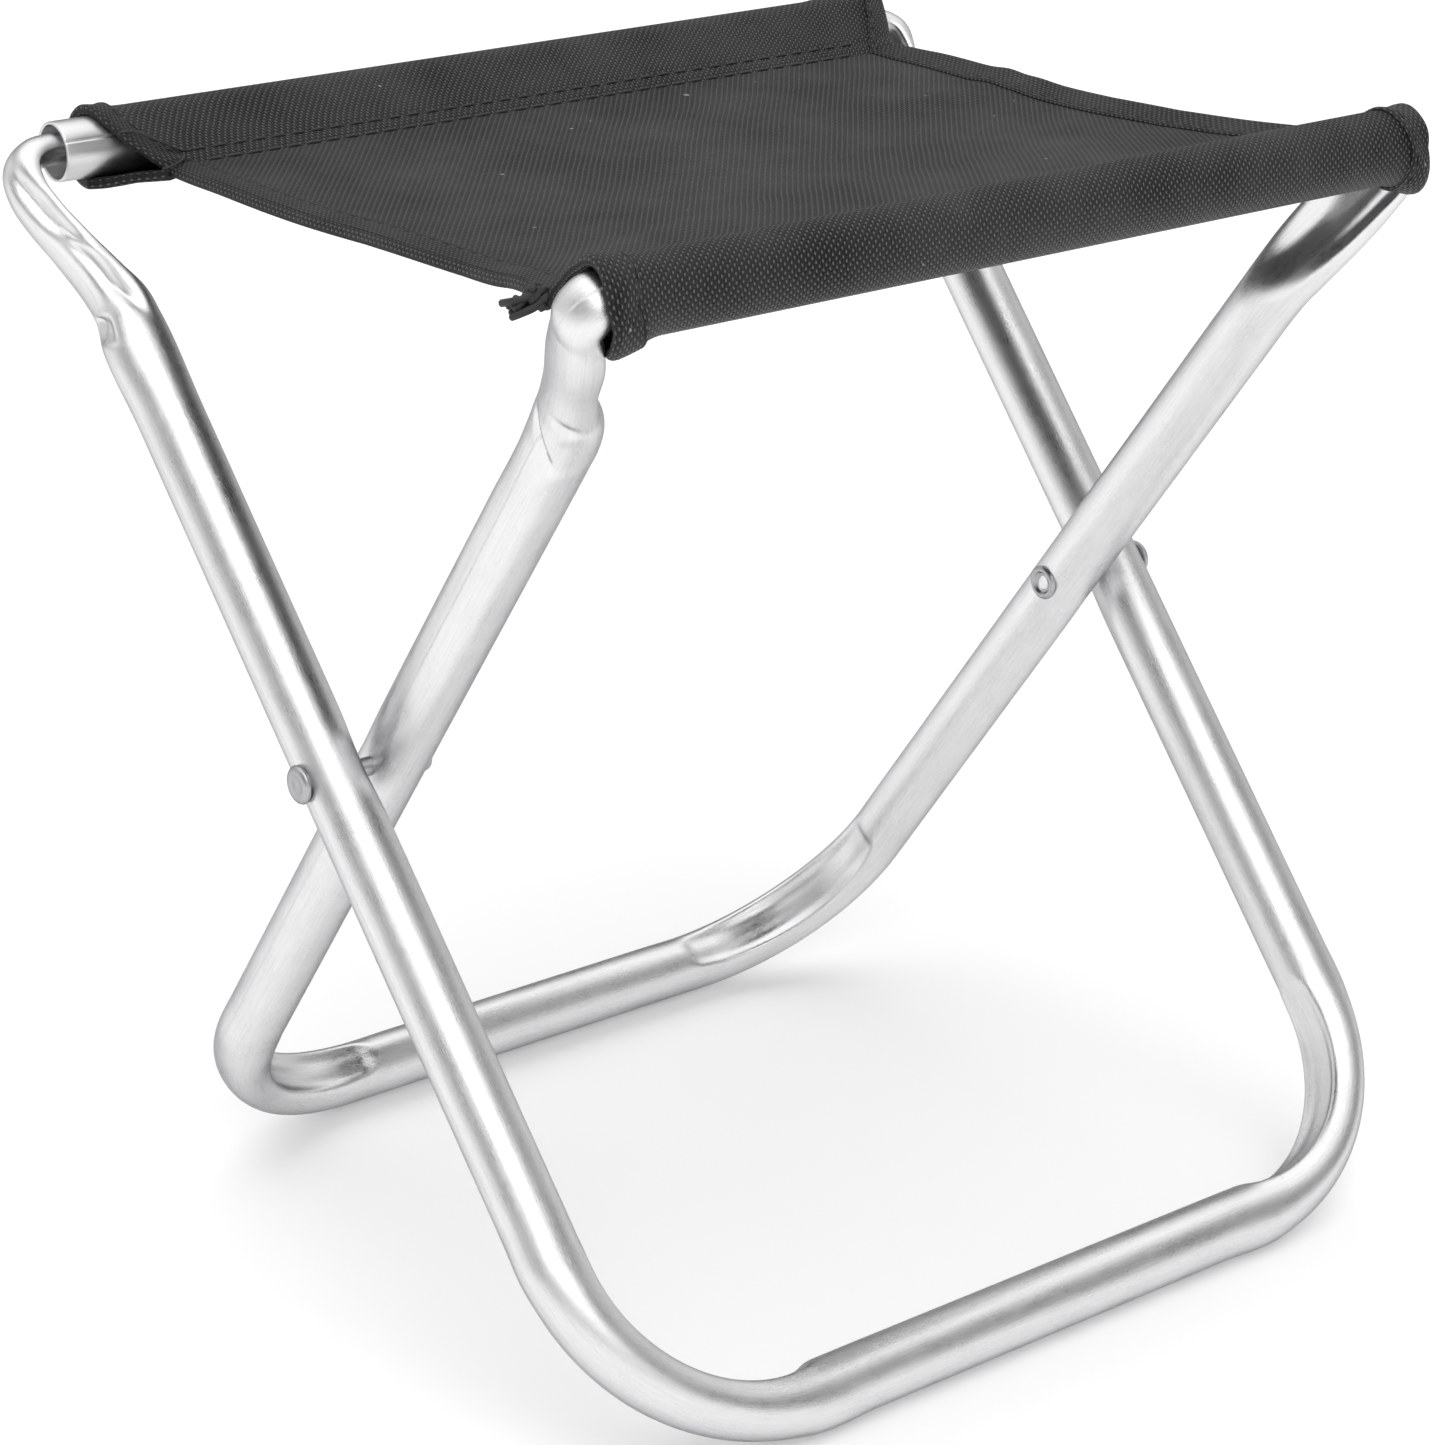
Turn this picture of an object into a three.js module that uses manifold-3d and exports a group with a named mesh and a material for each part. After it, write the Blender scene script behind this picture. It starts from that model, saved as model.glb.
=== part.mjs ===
// Folding camp stool: two U-shaped tube leg frames that cross at two rivets, with a fabric sling seat.
// Units are millimetres, +Z is up. The top rails run along X. The stool folds about the line of the rivets.
import * as THREE from 'three'
import * as BufferGeometryUtils from 'three/addons/utils/BufferGeometryUtils.js'
import Module from 'manifold-3d'

// Frame tube
const TUBE_R = 8
const WALL = 1.2
const TUBE_SIDES = 16

// Pivot line and the two leg planes
const PIVOT_Z = 139.67
const PIVOT_Y = 0.09
const OUTER_LEAN = THREE.MathUtils.degToRad(39.93)
const INNER_LEAN = THREE.MathUtils.degToRad(-38.2)

// Leg frames: half spacing at the pivot line, and how much it grows per millimetre up the leg
const OUTER_HALF = 122.5
const OUTER_SPLAY = 0.0145
const INNER_HALF = 106
const INNER_SPLAY = 0.0101
const BEND_R = 46
const OUTER_FLOOR = -(PIVOT_Z - TUBE_R) / Math.cos(OUTER_LEAN)
const INNER_FLOOR = -(PIVOT_Z - TUBE_R) / Math.cos(INNER_LEAN)

// Top rails: separate thin-walled tubes that the crimped leg tips enter
const RAIL_R = 7.3
const RAIL_WALL = 1
const OUTER_RAIL_S = 167.4
const OUTER_RAIL_HALF = 124.8
const INNER_RAIL_S = 164.5
const INNER_RAIL_HALF = 102

// Rivets
const SHANK_R = 2.6
const RIVET_HOLE_R = 2.9
const HEAD_R = 4.5
const HEAD_THICK = 1.6
const RIVET_GAP = 0.3

// Fabric
const CLOTH = 1.1
const SLEEVE_IN_R = 7.7
const SLEEVE_R = 9
const END_HEM_IN_R = 9.3
const END_HEM_R = 10.6
const END_HEM_LONG = 6
const SEAT_LEFT = -100
const SEAT_RIGHT = 104
const SIDE_HEM_WIDE = 9
const SIDE_HEM_THICK = 2.6
const SEAT_Z = 264
const SEAT_SAG = 2.5
const SEAT_FAR_Y = 98.6
const SEAT_NEAR_Y = -93.1
const SEAT_NEAR_WIDTH = 0.905
const THREAD_WIDE = 0.8
const THREAD_THICK = 0.6
const GAP = 0.3

const wasm = await Module()
wasm.setup()

// ---------------------------------------------------------------- helpers

function toSolid(geometry) {
  const plain = new THREE.BufferGeometry()
  plain.setAttribute('position', geometry.getAttribute('position'))
  if (geometry.index) plain.setIndex(geometry.index)
  const merged = BufferGeometryUtils.mergeVertices(plain, 1e-4)
  const mesh = new wasm.Mesh({
    numProp: 3,
    vertProperties: new Float32Array(merged.getAttribute('position').array),
    triVerts: new Uint32Array(merged.index.array),
  })
  return new wasm.Manifold(mesh)
}

function toGeometry(solid) {
  const mesh = solid.getMesh()
  const geometry = new THREE.BufferGeometry()
  geometry.setAttribute('position', new THREE.BufferAttribute(new Float32Array(mesh.vertProperties), 3))
  geometry.setIndex(new THREE.BufferAttribute(new Uint32Array(mesh.triVerts), 1))
  return geometry
}

function closedMesh(points, faces) {
  const geometry = new THREE.BufferGeometry()
  geometry.setAttribute('position', new THREE.Float32BufferAttribute(points.flatMap((p) => [p.x, p.y, p.z]), 3))
  geometry.setIndex(faces.flat())
  return geometry
}

// A point of a leg plane: x across, s up the leg from the pivot line, out square to the plane.
function planePoint(lean, x, s, out) {
  return new THREE.Vector3(
    x,
    PIVOT_Y + s * Math.sin(lean) + out * Math.cos(lean),
    PIVOT_Z + s * Math.cos(lean) - out * Math.sin(lean),
  )
}

// Rings of points along a path in a leg plane. shrink is how far the ring lies inside the outer skin.
function ringsAlong(stations, lean, turn, shrink) {
  return stations.map((here, i) => {
    const before = stations[Math.max(i - 1, 0)]
    const after = stations[Math.min(i + 1, stations.length - 1)]
    const along = new THREE.Vector2(after.x - before.x, after.s - before.s).normalize()
    const ring = []
    for (let k = 0; k < TUBE_SIDES; k++) {
      const angle = (2 * Math.PI * (k + 0.5)) / TUBE_SIDES + turn
      const reach = 1 / Math.cos(Math.PI / TUBE_SIDES)
      const a = (here.wide - shrink) * Math.cos(angle) * reach
      const b = (here.deep - shrink) * Math.sin(angle) * reach
      ring.push(planePoint(lean, here.x + along.y * a, here.s - along.x * a, b))
    }
    return ring
  })
}

// A hollow open-ended tube between matching outer and inner rings.
function hollowLoft(outerRings, innerRings) {
  const sides = outerRings[0].length
  const count = outerRings.length
  const points = [...outerRings.flat(), ...innerRings.flat()]
  const faces = []
  const outer = (i, k) => i * sides + (k % sides)
  const inner = (i, k) => count * sides + i * sides + (k % sides)
  for (let i = 0; i < count - 1; i++) {
    for (let k = 0; k < sides; k++) {
      faces.push([outer(i, k), outer(i + 1, k + 1), outer(i + 1, k)])
      faces.push([outer(i, k), outer(i, k + 1), outer(i + 1, k + 1)])
      faces.push([inner(i, k), inner(i + 1, k), inner(i + 1, k + 1)])
      faces.push([inner(i, k), inner(i + 1, k + 1), inner(i, k + 1)])
    }
  }
  const last = count - 1
  for (let k = 0; k < sides; k++) {
    faces.push([outer(0, k), inner(0, k + 1), outer(0, k + 1)])
    faces.push([outer(0, k), inner(0, k), inner(0, k + 1)])
    faces.push([outer(last, k), outer(last, k + 1), inner(last, k + 1)])
    faces.push([outer(last, k), inner(last, k + 1), inner(last, k)])
  }
  return closedMesh(points, faces)
}

// A shape drawn in (y, z) and pushed along X from x0 to x1.
function alongX(outline, x0, x1, hole) {
  const shape = new THREE.Shape(outline.map(([y, z]) => new THREE.Vector2(y, z)))
  if (hole) shape.holes.push(new THREE.Path(hole.map(([y, z]) => new THREE.Vector2(y, z))))
  const geometry = new THREE.ExtrudeGeometry(shape, { depth: x1 - x0, bevelEnabled: false, steps: 1 })
  geometry.applyMatrix4(new THREE.Matrix4().makeBasis(
    new THREE.Vector3(0, 1, 0),
    new THREE.Vector3(0, 0, 1),
    new THREE.Vector3(1, 0, 0),
  ))
  geometry.translate(x0, 0, 0)
  return geometry
}

function circle(y, z, radius, sides) {
  return Array.from({ length: sides }, (_, k) => {
    const angle = (2 * Math.PI * k) / sides
    return [y + radius * Math.cos(angle), z + radius * Math.sin(angle)]
  })
}

// ---------------------------------------------------------------- leg frames

// One half of a leg frame's centreline, from the middle of the floor rail up to the crimped tip.
// wide is the half size in the frame's plane, deep is the half size square to it.
function halfPath({ half, splay, floor, tip }) {
  const bendTop = floor + BEND_R
  const legAt = (s) => half + splay * s
  const bendX = legAt(bendTop) - BEND_R
  const path = [{ x: bendX * 0.5, s: floor, wide: TUBE_R, deep: TUBE_R }]
  const steps = 10
  for (let i = 0; i <= steps; i++) {
    const turn = (Math.PI / 2) * (i / steps)
    const pinch = Math.sin(2 * turn)
    path.push({
      x: bendX + BEND_R * Math.sin(turn),
      s: bendTop - BEND_R * Math.cos(turn),
      wide: TUBE_R - 1.6 * pinch,
      deep: TUBE_R + 0.7 * pinch,
    })
  }
  for (const s of [-90, -40, -14, 14, 60, 112]) path.push({ x: legAt(s), s, wide: TUBE_R, deep: TUBE_R })
  for (const [x, s, wide, deep] of tip) path.push({ x, s, wide, deep })
  return path
}

function legFrame({ lean, half, splay, floor, tip }) {
  const right = halfPath({ half, splay, floor, tip })
  const left = right.map((p) => ({ ...p, x: -p.x })).reverse()
  const stations = [...left, ...right]
  // Turning the rings by the lean makes one flat of the faceted tube face straight down on the floor rail.
  const tube = toSolid(hollowLoft(
    ringsAlong(stations, lean, lean, 0),
    ringsAlong(stations, lean, lean, WALL),
  ))
  const drill = new THREE.CylinderGeometry(RIVET_HOLE_R, RIVET_HOLE_R, 2 * half + 60, 24)
  drill.rotateZ(Math.PI / 2)
  drill.translate(0, PIVOT_Y, PIVOT_Z)
  return toGeometry(tube.subtract(toSolid(drill)))
}

const outerLegs = () => legFrame({
  lean: OUTER_LEAN,
  half: OUTER_HALF,
  splay: OUTER_SPLAY,
  floor: OUTER_FLOOR,
  tip: [
    [124.8, 123, 7.2, 8.4],
    [129, 136, 5.7, 8.6],
    [133.9, 151, 5.2, 8.4],
    [135, 158, 5.2, 8],
    [133.8, 163.4, 5.1, 7.4],
    [130.4, 166.4, 4.7, 6.2],
    [126.8, OUTER_RAIL_S, 4.4, 5.2],
    [112, OUTER_RAIL_S, 4.2, 5],
  ],
})

const innerLegs = () => legFrame({
  lean: INNER_LEAN,
  half: INNER_HALF,
  splay: INNER_SPLAY,
  floor: INNER_FLOOR,
  tip: [
    [108.2, 120, 7.2, 8.6],
    [111.2, 133, 6.4, 8.6],
    [115.8, 147, 5.8, 8.4],
    [119, 157, 5.4, 7.6],
    [118.8, 162.6, 5, 7],
    [115.4, 165.8, 4.6, 6.4],
    [110.2, 166, 4.4, 5.6],
    [104.4, INNER_RAIL_S, 4.2, 5],
    [92, INNER_RAIL_S, 4.2, 5],
  ],
})

// ---------------------------------------------------------------- top rails

function topRail(lean, s, half) {
  const { y, z } = planePoint(lean, 0, s, 0)
  return alongX(circle(y, z, RAIL_R, 24), -half, half, circle(y, z, RAIL_R - RAIL_WALL, 24))
}

// ---------------------------------------------------------------- rivets

// Tubular rivet on X: closed head outside the outer leg, hollow rolled end inside the inner leg.
function rivet(side) {
  const headUnder = OUTER_HALF + TUBE_R + RIVET_GAP
  const rollUnder = INNER_HALF - TUBE_R - RIVET_GAP
  const profile = [
    [0, headUnder + HEAD_THICK],
    [HEAD_R - 1.2, headUnder + HEAD_THICK],
    [HEAD_R, headUnder + HEAD_THICK - 0.8],
    [HEAD_R, headUnder],
    [SHANK_R, headUnder],
    [SHANK_R, rollUnder],
    [HEAD_R - 0.3, rollUnder],
    [HEAD_R, rollUnder - 0.7],
    [HEAD_R - 0.6, rollUnder - 1.5],
    [SHANK_R - 0.4, rollUnder - 1.2],
    [SHANK_R - 0.9, rollUnder],
    [SHANK_R - 0.9, rollUnder + 12],
    [0, rollUnder + 12],
  ]
  const points = profile.map(([r, h]) => new THREE.Vector2(r, h)).reverse()
  const geometry = new THREE.LatheGeometry(points, 24)
  geometry.rotateZ(side > 0 ? -Math.PI / 2 : Math.PI / 2)
  geometry.translate(0, PIVOT_Y, PIVOT_Z)
  return toGeometry(toSolid(geometry))
}

// ---------------------------------------------------------------- fabric

// The part of the sling that is sewn into a loop round a top rail.
function sleeve(lean, s, x0, x1, inside, outside) {
  const { y, z } = planePoint(lean, 0, s, 0)
  return alongX(circle(y, z, outside, 24), x0, x1, circle(y, z, inside, 24))
}

// How far y lies from the far rail towards the near one, 0 to 1.
const seatShare = (y) => (y - SEAT_FAR_Y) / (SEAT_NEAR_Y - SEAT_FAR_Y)

// How much narrower the seat is at that share.
const seatNarrowing = (t) => 1 + (SEAT_NEAR_WIDTH - 1) * t

// A strip of the seat between the two sleeves, hanging in a shallow curve. The seat is a little
// narrower at the near rail, so x shrinks towards it.
function seatStrip(x0, x1, below, above) {
  const steps = 12
  const curve = Array.from({ length: steps + 1 }, (_, i) => {
    const t = i / steps
    return [SEAT_FAR_Y + (SEAT_NEAR_Y - SEAT_FAR_Y) * t, SEAT_Z - 4 * SEAT_SAG * t * (1 - t)]
  })
  const top = curve.map(([y, z]) => [y, z + above])
  const bottom = curve.map(([y, z]) => [y, z - below]).reverse()
  const geometry = alongX([...top, ...bottom], x0, x1)
  const position = geometry.getAttribute('position')
  for (let i = 0; i < position.count; i++) {
    position.setX(i, position.getX(i) * seatNarrowing(seatShare(position.getY(i))))
  }
  return geometry
}

function seatTop(y) {
  const t = seatShare(y)
  return SEAT_Z - 4 * SEAT_SAG * t * (1 - t) + CLOTH / 2
}

// A row of stitching along a sleeve, laid on the seat.
function seamThread(y) {
  const z = seatTop(y) + GAP
  const width = seatNarrowing(seatShare(y))
  return alongX([
    [y - THREAD_WIDE / 2, z],
    [y + THREAD_WIDE / 2, z],
    [y + THREAD_WIDE / 2, z + THREAD_THICK],
    [y - THREAD_WIDE / 2, z + THREAD_THICK],
  ], (SEAT_LEFT + 2) * width, (SEAT_RIGHT - 2) * width)
}

// A row of stitching along a side hem.
function hemThread(x) {
  const lift = SIDE_HEM_THICK / 2 + GAP
  return seatStrip(x - THREAD_WIDE / 2, x + THREAD_WIDE / 2, -lift, lift + THREAD_THICK)
}

// ---------------------------------------------------------------- materials and assembly

const materials = {
  legs: ['legs', 0xc9cbce, 0.3, 1],
  rails: ['rails', 0xb9bbbf, 0.35, 1],
  rivets: ['rivets', 0xd2d3d5, 0.25, 1],
  fabric: ['fabric', 0x4b4b4c, 0.95, 0],
  hems: ['hems', 0x424243, 0.95, 0],
  thread: ['thread', 0x6a6a6b, 0.8, 0],
}

const stool = new THREE.Group()
stool.name = 'camp_stool'

function add(name, geometry, kind) {
  const [label, color, roughness, metalness] = materials[kind]
  const material = new THREE.MeshStandardMaterial({ color, roughness, metalness })
  material.name = `${name}_${label}`
  const mesh = new THREE.Mesh(geometry, material)
  mesh.name = name
  stool.add(mesh)
}

add('outer_leg_frame', outerLegs(), 'legs')
add('inner_leg_frame', innerLegs(), 'legs')
add('outer_top_rail', topRail(OUTER_LEAN, OUTER_RAIL_S, OUTER_RAIL_HALF), 'rails')
add('inner_top_rail', topRail(INNER_LEAN, INNER_RAIL_S, INNER_RAIL_HALF), 'rails')
add('left_rivet', rivet(-1), 'rivets')
add('right_rivet', rivet(1), 'rivets')

const outerEnds = { left: -115.7, right: 125 }
const innerEnds = { left: -109.5, right: 109.5 }

function addSleeve(name, lean, s, ends) {
  const hem = END_HEM_LONG + GAP
  add(`${name}_sleeve`, sleeve(lean, s, ends.left + hem, ends.right - hem, SLEEVE_IN_R, SLEEVE_R), 'fabric')
  add(`${name}_sleeve_left_hem`,
    sleeve(lean, s, ends.left, ends.left + END_HEM_LONG, END_HEM_IN_R, END_HEM_R), 'hems')
  add(`${name}_sleeve_right_hem`,
    sleeve(lean, s, ends.right - END_HEM_LONG, ends.right, END_HEM_IN_R, END_HEM_R), 'hems')
}

addSleeve('outer', OUTER_LEAN, OUTER_RAIL_S, outerEnds)
addSleeve('inner', INNER_LEAN, INNER_RAIL_S, innerEnds)

add('seat_panel', seatStrip(SEAT_LEFT, SEAT_RIGHT, CLOTH / 2, CLOTH / 2), 'fabric')
add('left_side_hem',
  seatStrip(SEAT_LEFT - GAP - SIDE_HEM_WIDE, SEAT_LEFT - GAP, SIDE_HEM_THICK / 2, SIDE_HEM_THICK / 2), 'hems')
add('right_side_hem',
  seatStrip(SEAT_RIGHT + GAP, SEAT_RIGHT + GAP + SIDE_HEM_WIDE, SIDE_HEM_THICK / 2, SIDE_HEM_THICK / 2), 'hems')
add('left_hem_thread', hemThread(SEAT_LEFT - GAP - SIDE_HEM_WIDE + 2.5), 'thread')
add('right_hem_thread', hemThread(SEAT_RIGHT + GAP + SIDE_HEM_WIDE - 2.5), 'thread')
add('outer_seam_thread_1', seamThread(SEAT_FAR_Y - 8), 'thread')
add('outer_seam_thread_2', seamThread(SEAT_FAR_Y - 12.5), 'thread')
add('inner_seam_thread_1', seamThread(SEAT_NEAR_Y + 8), 'thread')
add('inner_seam_thread_2', seamThread(SEAT_NEAR_Y + 12.5), 'thread')

export default stool
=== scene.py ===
import math

import bpy
import numpy as np
from mathutils import Matrix, Vector


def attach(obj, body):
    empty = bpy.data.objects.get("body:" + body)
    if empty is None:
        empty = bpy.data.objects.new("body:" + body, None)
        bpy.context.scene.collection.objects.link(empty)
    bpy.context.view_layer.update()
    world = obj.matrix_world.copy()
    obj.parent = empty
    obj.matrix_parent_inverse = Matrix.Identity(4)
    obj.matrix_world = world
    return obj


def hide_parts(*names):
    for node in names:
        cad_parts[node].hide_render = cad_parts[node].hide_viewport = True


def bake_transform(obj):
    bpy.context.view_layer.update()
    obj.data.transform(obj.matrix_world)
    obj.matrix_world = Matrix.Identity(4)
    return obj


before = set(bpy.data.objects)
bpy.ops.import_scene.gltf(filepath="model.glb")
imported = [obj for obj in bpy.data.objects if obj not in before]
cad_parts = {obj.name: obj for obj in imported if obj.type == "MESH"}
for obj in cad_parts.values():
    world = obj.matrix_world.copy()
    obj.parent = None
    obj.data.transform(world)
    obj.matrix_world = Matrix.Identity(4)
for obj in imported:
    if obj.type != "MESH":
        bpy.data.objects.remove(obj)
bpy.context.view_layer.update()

MM = 0.001
rng = np.random.default_rng(7)

# ---------------------------------------------------------------- sizes, in millimetres

PIVOT_Y = 0.09
PIVOT_Z = 139.67
OUTER_LEAN = math.radians(39.93)
INNER_LEAN = math.radians(-38.2)
TUBE_R = 8.0
WALL = 1.2
BEND_R = 46.0
GROOVE_FADE = 4.5
OUTER_HALF, OUTER_SPLAY = 122.5, 0.0145
INNER_HALF, INNER_SPLAY = 106.0, 0.0101
OUTER_RAIL_S, OUTER_RAIL_HALF = 167.4, 124.8
INNER_RAIL_S, INNER_RAIL_HALF = 164.5, 102.0
RAIL_R = 7.3
RAIL_WALL = 0.8

CLOTH = 0.9
LOOP_R = 8.3
OUTER_SEAM = (88.0, 264.4)
INNER_SEAM = (-81.0, 267.0)
SEAT_SAG = 2.2
WEAVE = 0.9
STITCH_PITCH = 5.6
STITCH_LENGTH = 4.5
STITCH_HALF_WIDTH = 0.42
STITCH_HALF_HEIGHT = 0.36
# How far the two rows of stitches are from a sleeve's seam.
SEAM_ROWS = (0.6, 4.6)

# ---------------------------------------------------------------- small helpers


def smoothstep(t):
    t = np.clip(t, 0, 1)
    return t * t * (3 - 2 * t)


def bell(d):
    """A bell of height 1 at d = 0."""
    return np.exp(-np.asarray(d, float) ** 2)


def wrap(angle):
    return (angle + math.pi) % (2 * math.pi) - math.pi


def spline(keys, count, fine_end=0.0, fine_count=0):
    """Smooth curve through rows of numbers, spaced along the first two columns.

    The last fine_end of its length gets fine_count points of its own.
    """
    keys = np.array(keys, float)
    gap = np.linalg.norm(np.diff(keys[:, :2], axis=0), axis=1)
    at = np.concatenate([[0], np.cumsum(gap)])
    slope = np.gradient(keys, at, axis=0)
    where = np.linspace(0, at[-1] - fine_end, count)
    if fine_count:
        where = np.concatenate([where[:-1], np.linspace(at[-1] - fine_end, at[-1], fine_count)])
    i = np.clip(np.searchsorted(at, where, side="right") - 1, 0, len(at) - 2)
    h = (at[i + 1] - at[i])[:, None]
    t = ((where - at[i]) / (at[i + 1] - at[i]))[:, None]
    a, b = keys[i], keys[i + 1]
    ma, mb = slope[i] * h, slope[i + 1] * h
    start = (2 * t**3 - 3 * t**2 + 1) * a + (t**3 - 2 * t**2 + t) * ma
    end = (3 * t**2 - 2 * t**3) * b + (t**3 - t**2) * mb
    return start + end


def make_mesh(name, points, faces, material, uv):
    """points are in millimetres; uv is one pair per point, in millimetres of the flat surface."""
    mesh = bpy.data.meshes.new(name)
    mesh.from_pydata((np.asarray(points, float) * MM).tolist(), [], faces)
    mesh.validate()
    layer = mesh.uv_layers.new(name="flat")
    corners = np.zeros(len(mesh.loops), np.int32)
    mesh.loops.foreach_get("vertex_index", corners)
    layer.data.foreach_set("uv", np.asarray(uv, np.float32)[corners].ravel())
    mesh.polygons.foreach_set("use_smooth", [True] * len(mesh.polygons))
    mesh.materials.append(material)
    piece = bpy.data.objects.new(name, mesh)
    bpy.context.scene.collection.objects.link(piece)
    return piece


def grid_faces(rows, cols, offset=0, around=False, flip=False):
    """Quads over a grid of points in row order. around joins the last column to the first."""
    faces = []
    last = cols if around else cols - 1
    for i in range(rows - 1):
        for k in range(last):
            n = (k + 1) % cols
            face = (i * cols + k, i * cols + n, (i + 1) * cols + n, (i + 1) * cols + k)
            face = tuple(offset + v for v in face)
            faces.append(face[::-1] if flip else face)
    return faces


# ---------------------------------------------------------------- materials


class Nodes:
    """Short names for building a node tree."""

    def __init__(self, name):
        self.material = bpy.data.materials.new(name)
        self.material.use_nodes = True
        self.tree = self.material.node_tree
        self.shader = self.tree.nodes["Principled BSDF"]

    def add(self, kind, **values):
        node = self.tree.nodes.new(kind)
        for key, value in values.items():
            if hasattr(node, key):
                setattr(node, key, value)
            else:
                node.inputs[key.replace("_", " ")].default_value = value
        return node

    def join(self, a, b):
        self.tree.links.new(a, b)

    def math(self, operation, *values):
        node = self.add("ShaderNodeMath", operation=operation)
        for socket, value in zip(node.inputs, values):
            if hasattr(value, "is_output"):
                self.join(value, socket)
            else:
                socket.default_value = value
        return node.outputs[0]

    def uv(self, scale):
        source = self.add("ShaderNodeUVMap", uv_map="flat")
        mapping = self.add("ShaderNodeMapping")
        mapping.inputs["Scale"].default_value = scale
        self.join(source.outputs["UV"], mapping.inputs["Vector"])
        return mapping.outputs["Vector"]

    def noise(self, vector, scale, detail, roughness):
        node = self.add("ShaderNodeTexNoise")
        node.inputs["Scale"].default_value = scale
        node.inputs["Detail"].default_value = detail
        node.inputs["Roughness"].default_value = roughness
        self.join(vector, node.inputs["Vector"])
        return node.outputs["Fac"]

    def ramp(self, value, low, high, to_low, to_high):
        node = self.add("ShaderNodeMapRange")
        self.join(value, node.inputs["Value"])
        limits = {"From Min": low, "From Max": high, "To Min": to_low, "To Max": to_high}
        for key, number in limits.items():
            node.inputs[key].default_value = number
        return node.outputs["Result"]

    def mix_color(self, factor, low, high):
        node = self.add("ShaderNodeMix", data_type="RGBA")
        self.join(factor, node.inputs["Factor"])
        for key, colour in (("A", low), ("B", high)):
            socket = [s for s in node.inputs if s.name == key and s.type == "RGBA"][0]
            if hasattr(colour, "is_output"):
                self.join(colour, socket)
            else:
                socket.default_value = (*colour, 1)
        return [s for s in node.outputs if s.type == "RGBA"][0]

    def bump(self, height, distance, strength):
        node = self.add("ShaderNodeBump")
        node.inputs["Distance"].default_value = distance
        node.inputs["Strength"].default_value = strength
        self.join(height, node.inputs["Height"])
        return node.outputs["Normal"]


def aluminium(name, base, rough, lines):
    """Bright drawn aluminium: lines along the tube, soft mottling and a few pits.

    lines is the strength of the relief.
    """
    m = Nodes(name)
    along = m.uv((1.0, 0.02, 1.0))
    streaks = m.noise(along, 2.4, 4.0, 0.65)
    fine = m.noise(m.uv((1.0, 0.035, 1.0)), 9.0, 3.0, 0.6)
    mottle = m.noise(m.uv((0.09, 0.05, 1.0)), 1.6, 5.0, 0.6)
    pits = m.noise(m.uv((1.0, 0.8, 1.0)), 1.3, 2.0, 0.5)
    tone = m.math("ADD", m.math("MULTIPLY", streaks, 0.6), m.math("MULTIPLY", mottle, 0.4))
    dark = tuple(0.86 * c for c in base)
    m.join(m.mix_color(m.ramp(tone, 0.35, 0.65, 0, 1), dark, base), m.shader.inputs["Base Color"])
    grain = m.math("ADD", fine, mottle)
    m.join(m.ramp(grain, 0.7, 1.3, rough - 0.05, rough + 0.08), m.shader.inputs["Roughness"])
    height = m.math("ADD", m.math("MULTIPLY", fine, 0.6), m.math("MULTIPLY", streaks, 0.4))
    pitted = m.ramp(pits, 0.22, 0.27, -1.0, 0.0)
    m.join(m.bump(m.math("ADD", height, pitted), 0.00008, lines), m.shader.inputs["Normal"])
    m.shader.inputs["Metallic"].default_value = 1.0
    m.shader.inputs["Specular Tint"].default_value = (0.35, 0.35, 0.36, 1)
    return m.material


def cloth(name, light, dark):
    """Plain-weave coated polyester: warp and weft floats, with painted shade darkening the gaps and the
    lower weft floats, slight wear and lint.
    """
    m = Nodes(name)
    split = m.add("ShaderNodeSeparateXYZ")
    m.join(m.uv((math.pi / WEAVE, math.pi / WEAVE, 1)), split.inputs["Vector"])
    su = m.math("SINE", split.outputs["X"])
    sv = m.math("SINE", split.outputs["Y"])
    au, av = m.math("ABSOLUTE", su), m.math("ABSOLUTE", sv)
    diagonal = m.math("COSINE", m.math("ADD", split.outputs["X"], split.outputs["Y"]))
    crossing = m.math("SUBTRACT", m.math("MULTIPLY", su, sv), m.math("MULTIPLY", diagonal, 0.22))
    over = m.math("GREATER_THAN", crossing, 0.0)
    warp = m.math("MULTIPLY", m.math("POWER", au, 1.3), m.math("POWER", av, 0.35))
    weft = m.math("MULTIPLY", m.math("POWER", au, 1.1), m.math("POWER", av, 0.9))
    top = m.math("MULTIPLY", over, warp)
    low = m.math("MULTIPLY", m.math("SUBTRACT", 1.0, over), m.math("MULTIPLY", weft, 0.45))
    height = m.math("ADD", top, low)
    fibres = m.noise(m.uv((2.2, 2.2, 1.0)), 2.0, 3.0, 0.7)
    worn = m.noise(m.uv((0.03, 0.03, 1.0)), 1.0, 4.0, 0.6)
    fuzz = m.math("MULTIPLY", m.math("SUBTRACT", fibres, 0.5), 0.5)
    # The colour follows the weave's height as painted shade: the gaps and the lower weft floats are
    # darkened, with random fibre fuzz on top.
    shade = m.math("ADD", m.math("MULTIPLY", height, 0.8), fuzz)
    weave_with_painted_shade = m.mix_color(m.ramp(shade, 0.3, 0.8, 0, 1), dark, light)
    faded = m.mix_color(m.ramp(worn, 0.35, 0.7, 0.0, 0.18), weave_with_painted_shade, tuple(1.2 * c for c in light))
    lint = m.noise(m.uv((0.33, 0.33, 1.0)), 1.0, 1.0, 0.3)
    specks = m.ramp(lint, 0.805, 0.82, 0, 1)
    m.join(m.mix_color(specks, faded, (0.32, 0.32, 0.32)), m.shader.inputs["Base Color"])
    m.join(m.bump(height, 0.0004, 1.0), m.shader.inputs["Normal"])
    m.shader.inputs["Roughness"].default_value = 0.5
    m.shader.inputs["Specular IOR Level"].default_value = 0.26
    return m.material


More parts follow.
